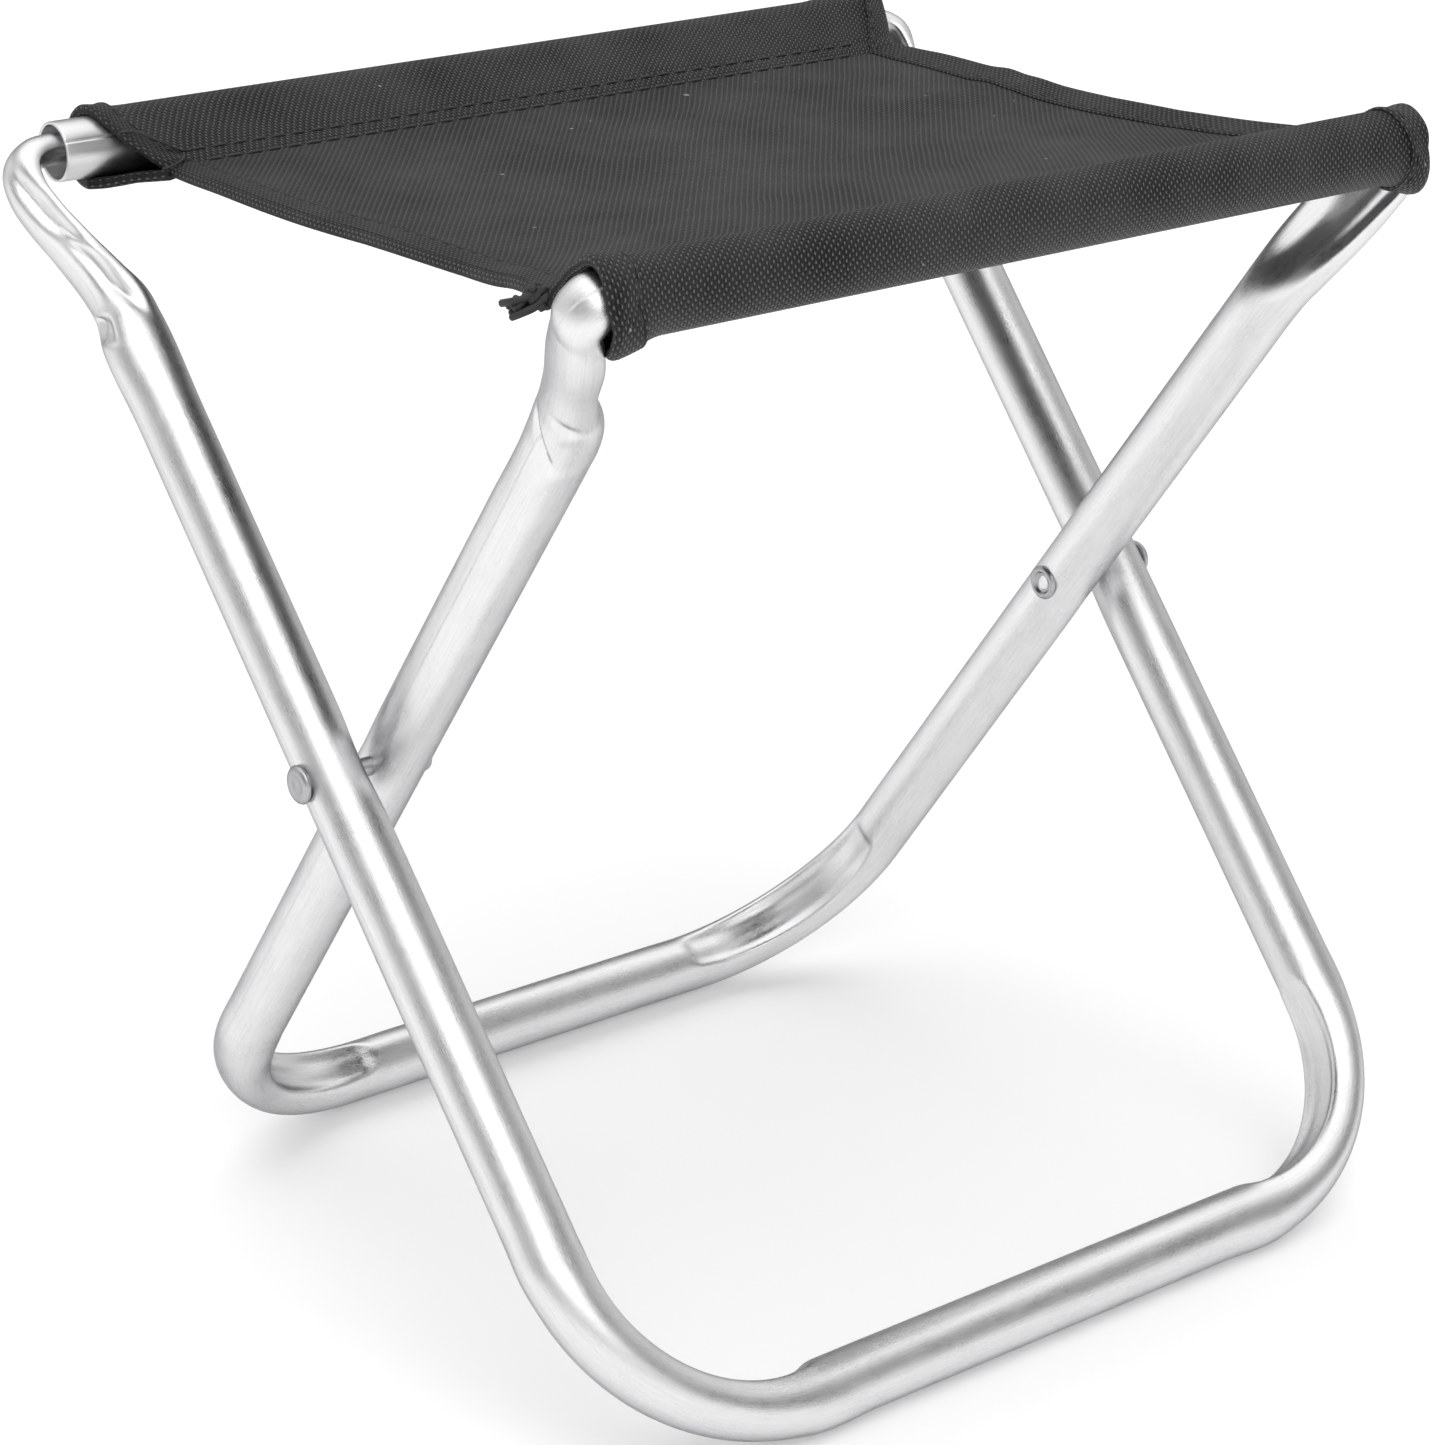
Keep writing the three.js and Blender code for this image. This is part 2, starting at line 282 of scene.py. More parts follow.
def thread_material():
    """Twisted sewing thread."""
    m = Nodes("sewing_thread")
    twist = m.noise(m.uv((3.0, 3.0, 1.0)), 2.0, 2.0, 0.5)
    m.join(m.mix_color(twist, (0.012, 0.012, 0.012), (0.035, 0.035, 0.036)), m.shader.inputs["Base Color"])
    m.join(m.bump(twist, 0.0001, 0.5), m.shader.inputs["Normal"])
    m.shader.inputs["Roughness"].default_value = 0.6
    return m.material


leg_metal = aluminium("drawn_tube", (0.85, 0.85, 0.855), 0.28, 0.8)
rail_metal = aluminium("rail_tube", (0.78, 0.78, 0.78), 0.32, 0.4)
# The rivet's colour is darkened to 0.5 as painted shade, standing in for the shade in its hole.
rivet_metal_with_painted_shade = aluminium("rivet_metal_with_painted_shade", (0.5, 0.5, 0.51), 0.3, 0.4)
# The second colour of each cloth is the painted shade put into the weave's gaps.
seat_cloth = cloth("seat_cloth", (0.135, 0.135, 0.137), (0.002, 0.002, 0.002))
hem_cloth = cloth("hem_cloth", (0.13, 0.13, 0.132), (0.002, 0.002, 0.002))
thread = thread_material()

# ---------------------------------------------------------------- leg frames

# One row per station of a leg's top end, from the straight leg to the crimped tip:
# x, s, reach outward, reach inward, half depth, depth of the inner dish, half angle of the dish.
OUTER_TIP = [
    (124.25, 119.0, 8.0, 8.0, 8.0, 0.0, 0.9),
    (124.9, 124.5, 6.0, 8.0, 8.4, 0.2, 0.9),
    (127.0, 131.0, 3.9, 7.2, 8.4, 1.0, 0.95),
    (130.8, 142.0, 3.6, 6.0, 7.6, 2.2, 1.0),
    (133.8, 151.0, 4.3, 5.2, 7.1, 2.6, 1.0),
    (135.0, 157.5, 4.8, 4.9, 6.8, 2.6, 1.0),
    (133.9, 163.4, 5.0, 4.8, 6.6, 2.6, 1.0),
    (130.2, 166.6, 4.6, 4.5, 6.0, 2.4, 1.0),
    (126.4, 167.6, 4.0, 4.2, 5.4, 2.4, 1.0),
    (121.6, 167.5, 3.7, 4.0, 5.0, 2.4, 1.0),
    (112.0, 167.4, 3.6, 3.8, 4.8, 2.2, 1.0),
]
INNER_LEFT_TIP = [
    (107.2, 115.0, 8.0, 8.0, 8.0, 0.0, 0.9),
    (107.8, 120.0, 7.4, 8.2, 8.4, 0.0, 0.9),
    (109.3, 126.5, 6.5, 8.0, 8.4, 0.3, 0.9),
    (110.8, 130.5, 5.7, 7.6, 7.8, 1.2, 0.95),
    (113.4, 138.0, 4.9, 7.0, 7.4, 2.2, 1.0),
    (117.0, 149.0, 4.9, 8.2, 8.0, 2.6, 1.0),
    (119.3, 156.5, 4.9, 7.0, 7.3, 2.6, 1.0),
    (120.8, 161.4, 4.8, 5.8, 6.9, 2.4, 1.0),
    (118.9, 164.9, 4.6, 4.6, 7.0, 2.2, 1.0),
    (112.4, 165.2, 4.0, 4.2, 6.2, 2.2, 1.0),
    (104.5, 165.0, 3.6, 3.8, 4.8, 2.2, 1.0),
    (93.0, 164.5, 3.6, 3.8, 4.8, 2.2, 1.0),
]
INNER_RIGHT_TIP = [
    (107.2, 112.0, 8.0, 8.0, 8.0, 0.0, 0.9),
    (107.6, 117.0, 6.8, 8.0, 8.3, 0.3, 0.8),
    (109.2, 126.0, 4.6, 7.6, 9.1, 2.0, 0.8),
    (112.4, 138.0, 3.6, 7.2, 9.5, 4.4, 0.85),
    (115.8, 149.0, 3.4, 6.6, 9.0, 4.8, 0.9),
    (118.2, 156.5, 3.8, 5.8, 7.8, 3.6, 1.0),
    (117.8, 162.0, 4.2, 4.8, 6.4, 3.0, 1.0),
    (114.0, 164.8, 4.0, 4.2, 5.4, 2.6, 1.0),
    (109.0, 165.2, 3.6, 3.9, 4.9, 2.4, 1.0),
    (104.0, 164.8, 3.6, 3.8, 4.8, 2.2, 1.0),
    (93.0, 164.5, 3.6, 3.8, 4.8, 2.2, 1.0),
]


def half_stations(half, splay, floor, tip):
    """Stations of one half of a leg frame, from the middle of the floor rail to the tip."""
    bend_top = floor + BEND_R
    bend_x = half + splay * bend_top - BEND_R
    rows = []
    for x in np.linspace(0, bend_x, 5)[:-1]:
        rows.append((x, floor, TUBE_R, TUBE_R, TUBE_R, 0, 0.9))
    for turn in np.linspace(0, math.pi / 2, 15):
        pinch = math.sin(2 * turn) ** 0.7 if 0 < turn < math.pi / 2 - 1e-9 else 0.0
        rows.append((
            bend_x + BEND_R * math.sin(turn),
            bend_top - BEND_R * math.cos(turn),
            TUBE_R - 2.3 * pinch,
            TUBE_R - 0.5 * pinch,
            TUBE_R + 0.75 * pinch,
            0,
            0.9,
        ))
    for s in (bend_top + 12, -70, -40, -15, 0, 15, 40, 70, 95):
        rows.append((half + splay * s, s, TUBE_R, TUBE_R, TUBE_R, 0, 0.9))
    return rows + tip


def bend_groove(station, bend_top, bend_x, reach):
    """How deep the pressed groove inside a floor bend is at a station, and its half angle."""
    along = np.where(
        station[:, 1] < bend_top,
        np.where(station[:, 0] < bend_x, station[:, 0] - bend_x,
                 BEND_R * np.arctan2(station[:, 0] - bend_x, bend_top - station[:, 1])),
        BEND_R * math.pi / 2 + station[:, 1] - bend_top,
    )
    start, end = -reach, BEND_R * math.pi / 2 + reach
    t = np.clip((along - start) / (end - start), 0, 1)
    edge = np.minimum(t, 1 - t) * (end - start)
    ends = smoothstep(edge / GROOVE_FADE)
    swell = np.sin(math.pi * t)
    return ends * (1.1 + 1.7 * swell), 0.32 + ends * (0.2 + 0.12 * swell)


def leg_rings(half, splay, lean, tip, dents, groove_reach, sides):
    """Points of one half of a leg frame as rings, its X to the right, with the distance along it."""
    floor = -(PIVOT_Z - TUBE_R) / math.cos(lean)
    st = spline(half_stations(half, splay, floor, tip), 230, 80.0, 170)
    centre = st[:, :2]
    tangent = np.gradient(centre, axis=0)
    tangent /= np.linalg.norm(tangent, axis=1)[:, None]
    normal = np.stack([tangent[:, 1], -tangent[:, 0]], axis=1)
    angle = np.linspace(0, 2 * math.pi, sides, endpoint=False)
    cosine, sine = np.cos(angle), np.sin(angle)
    out_reach = np.where(cosine[None, :] > 0, st[:, 2:3], st[:, 3:4]) * cosine[None, :]
    depth = st[:, 4:5] * sine[None, :]

    bend_top = floor + BEND_R
    bend_x = half + splay * bend_top - BEND_R
    groove, groove_half = bend_groove(st, bend_top, bend_x, groove_reach)
    from_inner = wrap(angle - math.pi)[None, :]
    q = from_inner / groove_half[:, None]
    out_reach = out_reach + groove[:, None] * (bell(q**2) - 0.22 * bell((np.abs(q) - 1.45) / 0.4))
    dish = st[:, 5:6]
    q = from_inner / st[:, 6:7]
    out_reach = out_reach + dish * (bell(q**2) - 0.12 * bell((np.abs(q) - 1.35) / 0.4))

    for at_s, at_angle, long, wide, deep, skew, sharp in dents:
        d_angle = wrap(angle - at_angle)[None, :]
        d_long = (centre[:, 1:2] - at_s - skew * d_angle) / long
        push = deep * np.exp(-np.abs(d_long) ** sharp - np.abs(d_angle / wide) ** sharp)
        out_reach = out_reach - push * cosine[None, :]
        depth = depth - push * sine[None, :]

    x = centre[:, 0:1] + normal[:, 0:1] * out_reach
    s = centre[:, 1:2] + normal[:, 1:2] * out_reach
    along = np.concatenate([[0], np.cumsum(np.linalg.norm(np.diff(centre, axis=0), axis=1))])
    points = np.stack([
        x,
        PIVOT_Y + s * math.sin(lean) + depth * math.cos(lean),
        PIVOT_Z + s * math.cos(lean) - depth * math.sin(lean),
    ], axis=2)
    return points, along


def leg_frame(name, half, splay, lean, left_tip, right_tip, left_dents, right_dents, groove_reach):
    """One bent tube with open crimped ends; the inner skin follows the outer one a wall's thickness in."""
    sides = 80
    right, along = leg_rings(half, splay, lean, right_tip, right_dents, groove_reach, sides)
    left, left_along = leg_rings(half, splay, lean, left_tip, left_dents, groove_reach, sides)
    left[:, :, 0] *= -1
    rings = np.concatenate([left[:0:-1], right])
    distance = np.concatenate([-left_along[:0:-1], along])
    middle = rings.mean(axis=1, keepdims=True)
    toward = middle - rings
    toward /= np.linalg.norm(toward, axis=2, keepdims=True)
    lip = 14
    inner_start = rings[:lip] + WALL * toward[:lip]
    inner_end = rings[-lip:] + WALL * toward[-lip:]
    rows, cols = rings.shape[:2]
    u = np.arange(cols) / cols * 2 * math.pi * TUBE_R
    uv = np.stack(np.broadcast_arrays(u[None, :], distance[:, None]), axis=2).reshape(-1, 2)
    points = rings.reshape(-1, 3)
    faces = grid_faces(rows, cols, around=True)
    # The start's lip turns back inside the tube, and so does the end's.
    start_offset = len(points)
    points = np.concatenate([points, inner_start.reshape(-1, 3), inner_end.reshape(-1, 3)])
    uv = np.concatenate([uv, uv[: lip * cols], uv[-lip * cols:]])
    end_offset = start_offset + lip * cols
    faces += grid_faces(lip, cols, start_offset, around=True, flip=True)
    faces += grid_faces(lip, cols, end_offset, around=True, flip=True)
    last = (rows - 1) * cols
    end_last = end_offset + (lip - 1) * cols
    for k in range(cols):
        n = (k + 1) % cols
        faces.append((n, k, start_offset + k, start_offset + n))
        faces.append((last + k, last + n, end_last + n, end_last + k))
    # Both blind ends of the lips are closed off inside the tube.
    faces.append(tuple(start_offset + (lip - 1) * cols + k for k in range(cols)))
    faces.append(tuple(end_offset + k for k in reversed(range(cols))))
    return make_mesh(name, points, faces, leg_metal, uv)


# Dents pressed into the tubes: place up the leg, angle from the outer side, half length, half angle,
# depth, skew along the leg per radian, sharpness. A negative depth raises a ridge.
outer_dents = [
    (0.0, math.pi, 8.5, 0.85, 0.9, 0.0, 2.0),
    (120.5, 0.0, 3.4, 0.5, 2.2, 5.0, 4.0),
    (131.0, -1.15, 7.5, 0.6, 3.2, 8.0, 3.4),
    (151.0, -0.9, 8.5, 0.6, 2.8, 7.0, 3.2),
]
inner_left_dents = [
    (0.0, 0.0, 8.5, 0.85, 0.9, 0.0, 2.0),
    (14.0, 0.05, 13.0, 0.45, 1.2, 0.0, 2.0),
    (62.0, -0.15, 55.0, 0.7, 1.1, 0.0, 4.0),
    (122.8, -0.15, 1.3, 0.55, 1.4, 9.0, 3.0),
    (131.2, -1.0, 1.3, 0.5, 0.6, 1.5, 2.0),
    (122.0, -1.1, 6.0, 0.5, 0.5, -3.0, 5.0),
]
inner_right_dents = [
    (0.0, 0.0, 8.5, 0.85, 0.9, 0.0, 2.0),
    (14.0, 0.05, 13.0, 0.45, 1.2, 0.0, 2.0),
    (62.0, -0.15, 55.0, 0.7, 1.1, 0.0, 4.0),
    (118.0, 0.0, 4.0, 0.6, 1.8, 0.0, 3.0),
    (130.0, 2.85, 12.0, 0.6, 2.8, 0.0, 2.6),
    (146.0, -2.75, 14.0, 0.16, -0.9, 3.0, 2.0),
]

outer_legs = leg_frame("outer_legs", OUTER_HALF, OUTER_SPLAY, OUTER_LEAN, OUTER_TIP, OUTER_TIP,
                       outer_dents, outer_dents, 6.0)
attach(outer_legs, "outer_frame")
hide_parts("outer_leg_frame")

inner_legs = leg_frame("inner_legs", INNER_HALF, INNER_SPLAY, INNER_LEAN, INNER_LEFT_TIP, INNER_RIGHT_TIP,
                       inner_left_dents, inner_right_dents, 6.0)
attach(inner_legs, "inner_frame")
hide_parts("inner_leg_frame")

# ---------------------------------------------------------------- top rails


def top_rail(name, lean, s, half):
    """Thin rolled tube with a lengthwise seam and open ends."""
    y = PIVOT_Y + s * math.sin(lean)
    z = PIVOT_Z + s * math.cos(lean)
    sides = 160
    seam_at = math.radians(153)
    angle = seam_at + np.linspace(0, 2 * math.pi, sides, endpoint=False)
    groove = 0.35 * bell(wrap(angle - seam_at) / 0.03)
    # Rows of distance from the middle, radius, and 1 on the outside, where the seam's groove is, or 0.
    bore = RAIL_R - RAIL_WALL
    right_end = [
        (half - 6, RAIL_R, 1), (half - 0.5, RAIL_R, 1), (half - 0.18, RAIL_R - 0.05, 1),
        (half, RAIL_R - 0.18, 1), (half, bore + 0.12, 0), (half - 0.3, bore, 0), (half - 20, bore, 0),
    ]
    left_end = [(-x, r, outside) for x, r, outside in right_end[::-1]]
    middle = [(x, RAIL_R, 1) for x in np.linspace(-half + 6, half - 6, 13)[1:-1]]
    rows = left_end + middle + right_end
    points, uv = [], []
    distance = 0.0
    for i, (x, r, outside) in enumerate(rows):
        if i:
            distance += math.hypot(x - rows[i - 1][0], r - rows[i - 1][1])
        for k in range(sides):
            radius = r - outside * groove[k]
            points.append((x, y + radius * math.cos(angle[k]), z + radius * math.sin(angle[k])))
            uv.append((angle[k] * RAIL_R, distance))
    faces = grid_faces(len(rows), sides, around=True)
    faces.append(tuple(reversed(range(sides))))
    faces.append(tuple((len(rows) - 1) * sides + k for k in range(sides)))
    return make_mesh(name, points, faces, rail_metal, uv)


RAILS = (
    ("outer_rail", "outer_frame", OUTER_LEAN, OUTER_RAIL_S, OUTER_RAIL_HALF),
    ("inner_rail", "inner_frame", INNER_LEAN, INNER_RAIL_S, INNER_RAIL_HALF),
)
for rail_name, body, lean, s, half in RAILS:
    rail = top_rail(rail_name, lean, s, half)
    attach(rail, body)
    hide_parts(rail_name.replace("rail", "top_rail"))

# ---------------------------------------------------------------- rivets


def lathe_x(name, profile, sides, material):
    """Turns a profile of (distance along X, radius) about the pivot line."""
    points, uv = [], []
    distance = 0.0
    for i, (x, r) in enumerate(profile):
        if i:
            distance += math.hypot(x - profile[i - 1][0], r - profile[i - 1][1])
        for k in range(sides):
            a = 2 * math.pi * k / sides
            points.append((x, PIVOT_Y + r * math.cos(a), PIVOT_Z + r * math.sin(a)))
            uv.append((a * 4, distance))
    faces = grid_faces(len(profile), sides, around=True, flip=profile[0][0] > profile[-1][0])
    first = tuple(range(sides))
    last = tuple((len(profile) - 1) * sides + k for k in range(sides))
    forward = profile[0][0] <= profile[-1][0]
    faces.append(first[::-1] if forward else first)
    faces.append(last if forward else last[::-1])
    return make_mesh(name, points, faces, material, uv)


def rivet(side):
    """Tubular rivet: shallow dished head outside, hollow rolled lip inside."""
    head = OUTER_HALF + TUBE_R - 0.2
    roll = INNER_HALF - TUBE_R + 0.4
    profile = [
        (roll + 9.0, 0.05), (roll + 8.0, 1.2), (roll + 1.6, 1.25), (roll + 1.3, 1.5), (roll - 0.3, 1.75),
        (roll - 0.5, 2.0), (roll - 0.3, 2.3), (roll - 0.4, 2.6), (roll - 1.0, 2.9),
        (roll - 1.2, 3.1), (roll - 1.15, 3.7), (roll - 0.8, 4.25), (roll - 0.2, 4.5), (roll + 0.3, 4.3),
        (roll + 0.5, 3.8), (roll + 0.5, 2.7), (roll + 2.0, 2.6), (head - 2.0, 2.6), (head + 0.3, 2.7),
        (head + 0.45, 4.3), (head + 0.75, 4.6), (head + 1.2, 4.6), (head + 1.7, 4.25), (head + 2.05, 3.6),
        (head + 2.15, 3.0), (head + 2.05, 2.5), (head + 2.0, 1.5), (head + 2.1, 0.6), (head + 2.12, 0.05),
    ]
    fine = spline([(x, r, 0) for x, r in profile], 110)[:, :2]
    fine[:, 1] = np.maximum(fine[:, 1], 0.03)
    fine[:, 0] *= side
    name = "right_rivet_body" if side > 0 else "left_rivet_body"
    return lathe_x(name, [tuple(row) for row in fine], 56, rivet_metal_with_painted_shade)


for side, node in ((-1, "left_rivet"), (1, "right_rivet")):
    piece = rivet(side)
    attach(piece, "outer_frame")
    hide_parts(node)

# ---------------------------------------------------------------- sling seat

OUTER_AXIS = (PIVOT_Y + OUTER_RAIL_S * math.sin(OUTER_LEAN), PIVOT_Z + OUTER_RAIL_S * math.cos(OUTER_LEAN))
INNER_AXIS = (PIVOT_Y + INNER_RAIL_S * math.sin(INNER_LEAN), PIVOT_Z + INNER_RAIL_S * math.cos(INNER_LEAN))

# Places along the cloth: 0 raw edge under the outer seam, 1 and 2 where it meets and leaves the outer
# rail, 3 outer seam, 4 inner seam, 5 and 6 where it meets and leaves the inner rail, 7 raw edge under
# the inner seam. Each edge is rows of place and X.
LEFT_EDGE = [(0, -106), (1, -117.5), (1.5, -116), (2, -114.3), (2.5, -110.5), (3, -104.8),
             (3.25, -106), (3.51, -106.6), (3.76, -109), (3.87, -111), (4, -115.5), (5, -119),
             (5.5, -121.7), (5.75, -119.3), (6, -114.8), (7, -112)]
RIGHT_EDGE = [(0, 121.5), (1, 128), (2, 129), (3, 121.5), (3.12, 120.5), (3.3, 117.3), (3.43, 115.3),
              (3.57, 112.5), (3.72, 111), (3.88, 113), (4, 114.5), (4.6, 116), (5, 119.5), (5.3, 117),
              (5.5, 116), (5.75, 117.5), (6, 119.5), (7, 115)]
LEFT_HEM_WIDTH = [(0, 5), (2, 5), (3, 6.5), (4, 7.5), (4.6, 8.5), (7, 8)]
RIGHT_HEM_WIDTH = [(0, 6), (2, 6), (3, 8.5), (4, 9), (4.6, 11), (5, 12), (5.3, 8.5), (5.5, 6.5),
                   (6, 8), (7, 12)]


def loop_path(seam, axis, direction, first):
    """The cloth round a rail as (y, z, place), from under the seam to the top of the seam.

    direction is the side of the seam the rail is on, and first is the place number under the seam.
    """
    dy, dz = axis[0] - seam[0], axis[1] - seam[1]
    lift = math.atan2(dz, abs(dy))
    spread = math.asin(LOOP_R / math.hypot(dy, dz))
    under = -math.pi / 2 + lift - spread
    over = math.pi / 2 + lift + spread
    path = []
    meet = (axis[0] + direction * LOOP_R * math.cos(under), axis[1] + LOOP_R * math.sin(under))
    leave = (axis[0] + direction * LOOP_R * math.cos(over), axis[1] + LOOP_R * math.sin(over))
    for t in np.linspace(0, 1, 14)[:-1]:
        y = seam[0] + t * (meet[0] - seam[0])
        z = seam[1] - 1.3 + t * (meet[1] - seam[1] + 1.3)
        path.append((y, z, first + t))
    for t in np.linspace(0, 1, 46):
        turn = under + t * (over - under)
        y = axis[0] + direction * LOOP_R * math.cos(turn)
        z = axis[1] + LOOP_R * math.sin(turn)
        path.append((y, z, first + 1 + t))
    for t in np.linspace(0, 1, 24)[1:]:
        y = leave[0] + t * (seam[0] - leave[0])
        z = leave[1] + t * (seam[1] - leave[1])
        path.append((y, z, first + 2 + t))
    return path


def sling_path():
    """The cloth's whole section as (y, z, place)."""
    outer = loop_path(OUTER_SEAM, OUTER_AXIS, 1, 0)
    inner = [(y, z, 7 - place) for y, z, place in loop_path(INNER_SEAM, INNER_AXIS, -1, 0)]
    seat = []
    for t in np.linspace(0, 1, 130)[1:-1]:
        y = OUTER_SEAM[0] + t * (INNER_SEAM[0] - OUTER_SEAM[0])
        z = OUTER_SEAM[1] + t * (INNER_SEAM[1] - OUTER_SEAM[1]) - 4 * SEAT_SAG * t * (1 - t)
        seat.append((y, z, 3 + t))
    return np.array(outer + seat + inner[::-1])


PATH = sling_path()
PLACE = PATH[:, 2]
ALONG = np.concatenate([[0], np.cumsum(np.linalg.norm(np.diff(PATH[:, :2], axis=0), axis=1))])


# The weft threads lie closer together round the sleeves than over the stretched seat.
on_seat = (PLACE[1:] > 3) & (PLACE[1:] <= 4)
THREADS = np.concatenate([[0], np.cumsum(np.diff(ALONG) * np.where(on_seat, 0.81, 1.04))])


def at_place(table):
    keys = np.array(table, float)
    return np.interp(PLACE, keys[:, 0], keys[:, 1])


LEFT_X, RIGHT_X = at_place(LEFT_EDGE), at_place(RIGHT_EDGE)


def seat_lift(x, y):
    """Soft creases and unevenness of the taut seat, in millimetres."""
    inside = smoothstep((y + 80) / 30) * smoothstep((88 - y) / 25)
    crease = 0.8 * bell((y - 24 - 0.10 * x) / 6) * smoothstep((x + 60) / 50)
    crease = crease + 0.7 * bell((y + 32 - 0.3 * x) / 6) * smoothstep((70 - x) / 50)
    crease = crease + 0.5 * bell((y - 52 + 0.25 * x) / 7) * smoothstep((x + 20) / 50)
    waves = 0.28 * np.sin(x / 17 + y / 31) + 0.22 * np.sin(y / 13 - x / 41)
    return inside * (crease + waves)


def seam_dip(rows):
    """The stitching pulls the cloth down in two shallow grooves beside each seam."""
    dip = np.zeros(len(rows))
    for seam, side in ((3, -1), (4, 1)):
        start = ALONG[np.argmin(np.abs(PLACE - seam))]
        for row in SEAM_ROWS:
            dip += 0.3 * bell((ALONG - start - side * row) / 0.9)
    return dip


DIP = seam_dip(PLACE)


def sling(x):
    """Points of the cloth's middle surface. x has one row per path point."""
    y = np.broadcast_to(PATH[:, 0:1], x.shape).copy()
    z = np.broadcast_to(PATH[:, 1:2], x.shape) + np.where(
        (PLACE > 3) & (PLACE < 4), 1.0, 0.0)[:, None] * seat_lift(x, y) - DIP[:, None]
    for axis, rows, near in ((OUTER_AXIS, PLACE < 3, False), (INNER_AXIS, PLACE > 4, True)):
        dy, dz = y - axis[0], z - axis[1]
        r = np.hypot(dy, dz)
        close = smoothstep((16 - r) / 7) * rows[:, None]
        left = smoothstep((-104 - x) / 12)
        right = smoothstep((x - 106) / 12)
        below = np.clip(-dz / r, 0, 1)
        if near:
            swell = left * (0.6 + 1.5 * below) + right * (3.2 * below - 0.8)
        else:
            swell = left * 0.5 + right * 0.8
        y = y + close * swell * dy / r
        z = z + close * swell * dz / r
    return np.stack([x, y, z], axis=2)


def sling_frame(x):
    """Points and outward normals of the cloth."""
    points = sling(x)
    across = sling(x + 0.4) - sling(x - 0.4)
    normal = np.cross(np.gradient(points, axis=0), across)
    return points, normal / np.linalg.norm(normal, axis=2, keepdims=True)


def cloth_sheet():
    """The whole sling as one closed sheet, its side edges inside the hems."""
    columns = 200
    t = np.linspace(0, 1, columns)
    left, right = LEFT_X + 1.2, RIGHT_X - 1.2
    x = left[:, None] + (right - left)[:, None] * t[None, :]
    points, normal = sling_frame(x)
    upper = points + normal * CLOTH / 2
    lower = points - normal * CLOTH / 2
    rows, cols = x.shape
    size = rows * cols
    faces = grid_faces(rows, cols, flip=True)
    faces += grid_faces(rows, cols, size)
    rim = [(0, k) for k in range(cols)] + [(i, cols - 1) for i in range(1, rows)]
    rim += [(rows - 1, k) for k in range(cols - 2, -1, -1)] + [(i, 0) for i in range(rows - 2, 0, -1)]
    ids = [i * cols + k for i, k in rim]
    for a, b in zip(ids, ids[1:] + ids[:1]):
        faces.append((a, b, size + b, size + a))
    u = np.broadcast_to(t[None, :] * 234, x.shape)
    uv = np.stack([u, np.broadcast_to(THREADS[:, None], x.shape)], axis=2).reshape(-1, 2)
    every = np.concatenate([upper.reshape(-1, 3), lower.reshape(-1, 3)])
    return make_mesh("sling_seat", every, faces, seat_cloth, np.concatenate([uv, uv]))


# Section of a folded hem: share of its width from the edge, and height over the cloth.
HEM_SECTION = [
    (0.0, 0.0), (0.012, 0.6), (0.05, 1.05), (0.12, 1.35), (0.25, 1.42), (0.5, 1.3), (0.78, 1.25),
    (0.83, 0.8), (0.88, 1.25), (0.96, 1.2), (0.995, 0.8), (1.0, 0.2), (0.99, -0.5), (0.9, -0.75),
    (0.5, -1.05), (0.25, -1.25), (0.12, -1.2), (0.05, -0.95), (0.012, -0.55),
]


def hem_frame(edge, inward, width, share, height, stand):
    """One line along a hem: its points, and the cloth's normals there."""
    x = (edge + inward * width * share)[:, None]
    points, normal = sling_frame(x)
    loose = np.clip(np.abs(PLACE - 3.5) - 0.6, 0, 1) * np.where(PLACE > 4, 0.5, 0.25)
    ruffle = loose * np.sin(ALONG / 2.9 + 5 * share) * np.sin(ALONG / 7.3 + 2 * inward)
    tilt = stand * (1 - share) ** 2 * smoothstep(1 - 2 * np.abs(PLACE - 3.5) + 0.6)
    return points[:, 0] + normal[:, 0] * (height + tilt + ruffle)[:, None], normal[:, 0]


def hem(name, edge, inward, widths, stand):
    """The folded hem along one side of the cloth, right round both sleeves."""
    width = at_place(widths)
    lines = [hem_frame(edge, inward, width, share, height, stand)[0] for share, height in HEM_SECTION]
    grid = np.stack(lines, axis=1)
    rows, cols = grid.shape[:2]
    faces = grid_faces(rows, cols, around=True, flip=inward > 0)
    first = tuple(range(cols))
    last = tuple((rows - 1) * cols + k for k in range(cols))
    faces.append(first if inward > 0 else first[::-1])
    faces.append(last[::-1] if inward > 0 else last)
    gap = np.linalg.norm(np.diff(np.array(HEM_SECTION) * (9, 1), axis=0), axis=1)
    u = np.broadcast_to(np.concatenate([[0], np.cumsum(gap)])[None, :], (rows, cols))
    uv = np.stack([u, np.broadcast_to(ALONG[:, None], (rows, cols))], axis=2)
    return make_mesh(name, grid.reshape(-1, 3), faces, hem_cloth, uv.reshape(-1, 2))


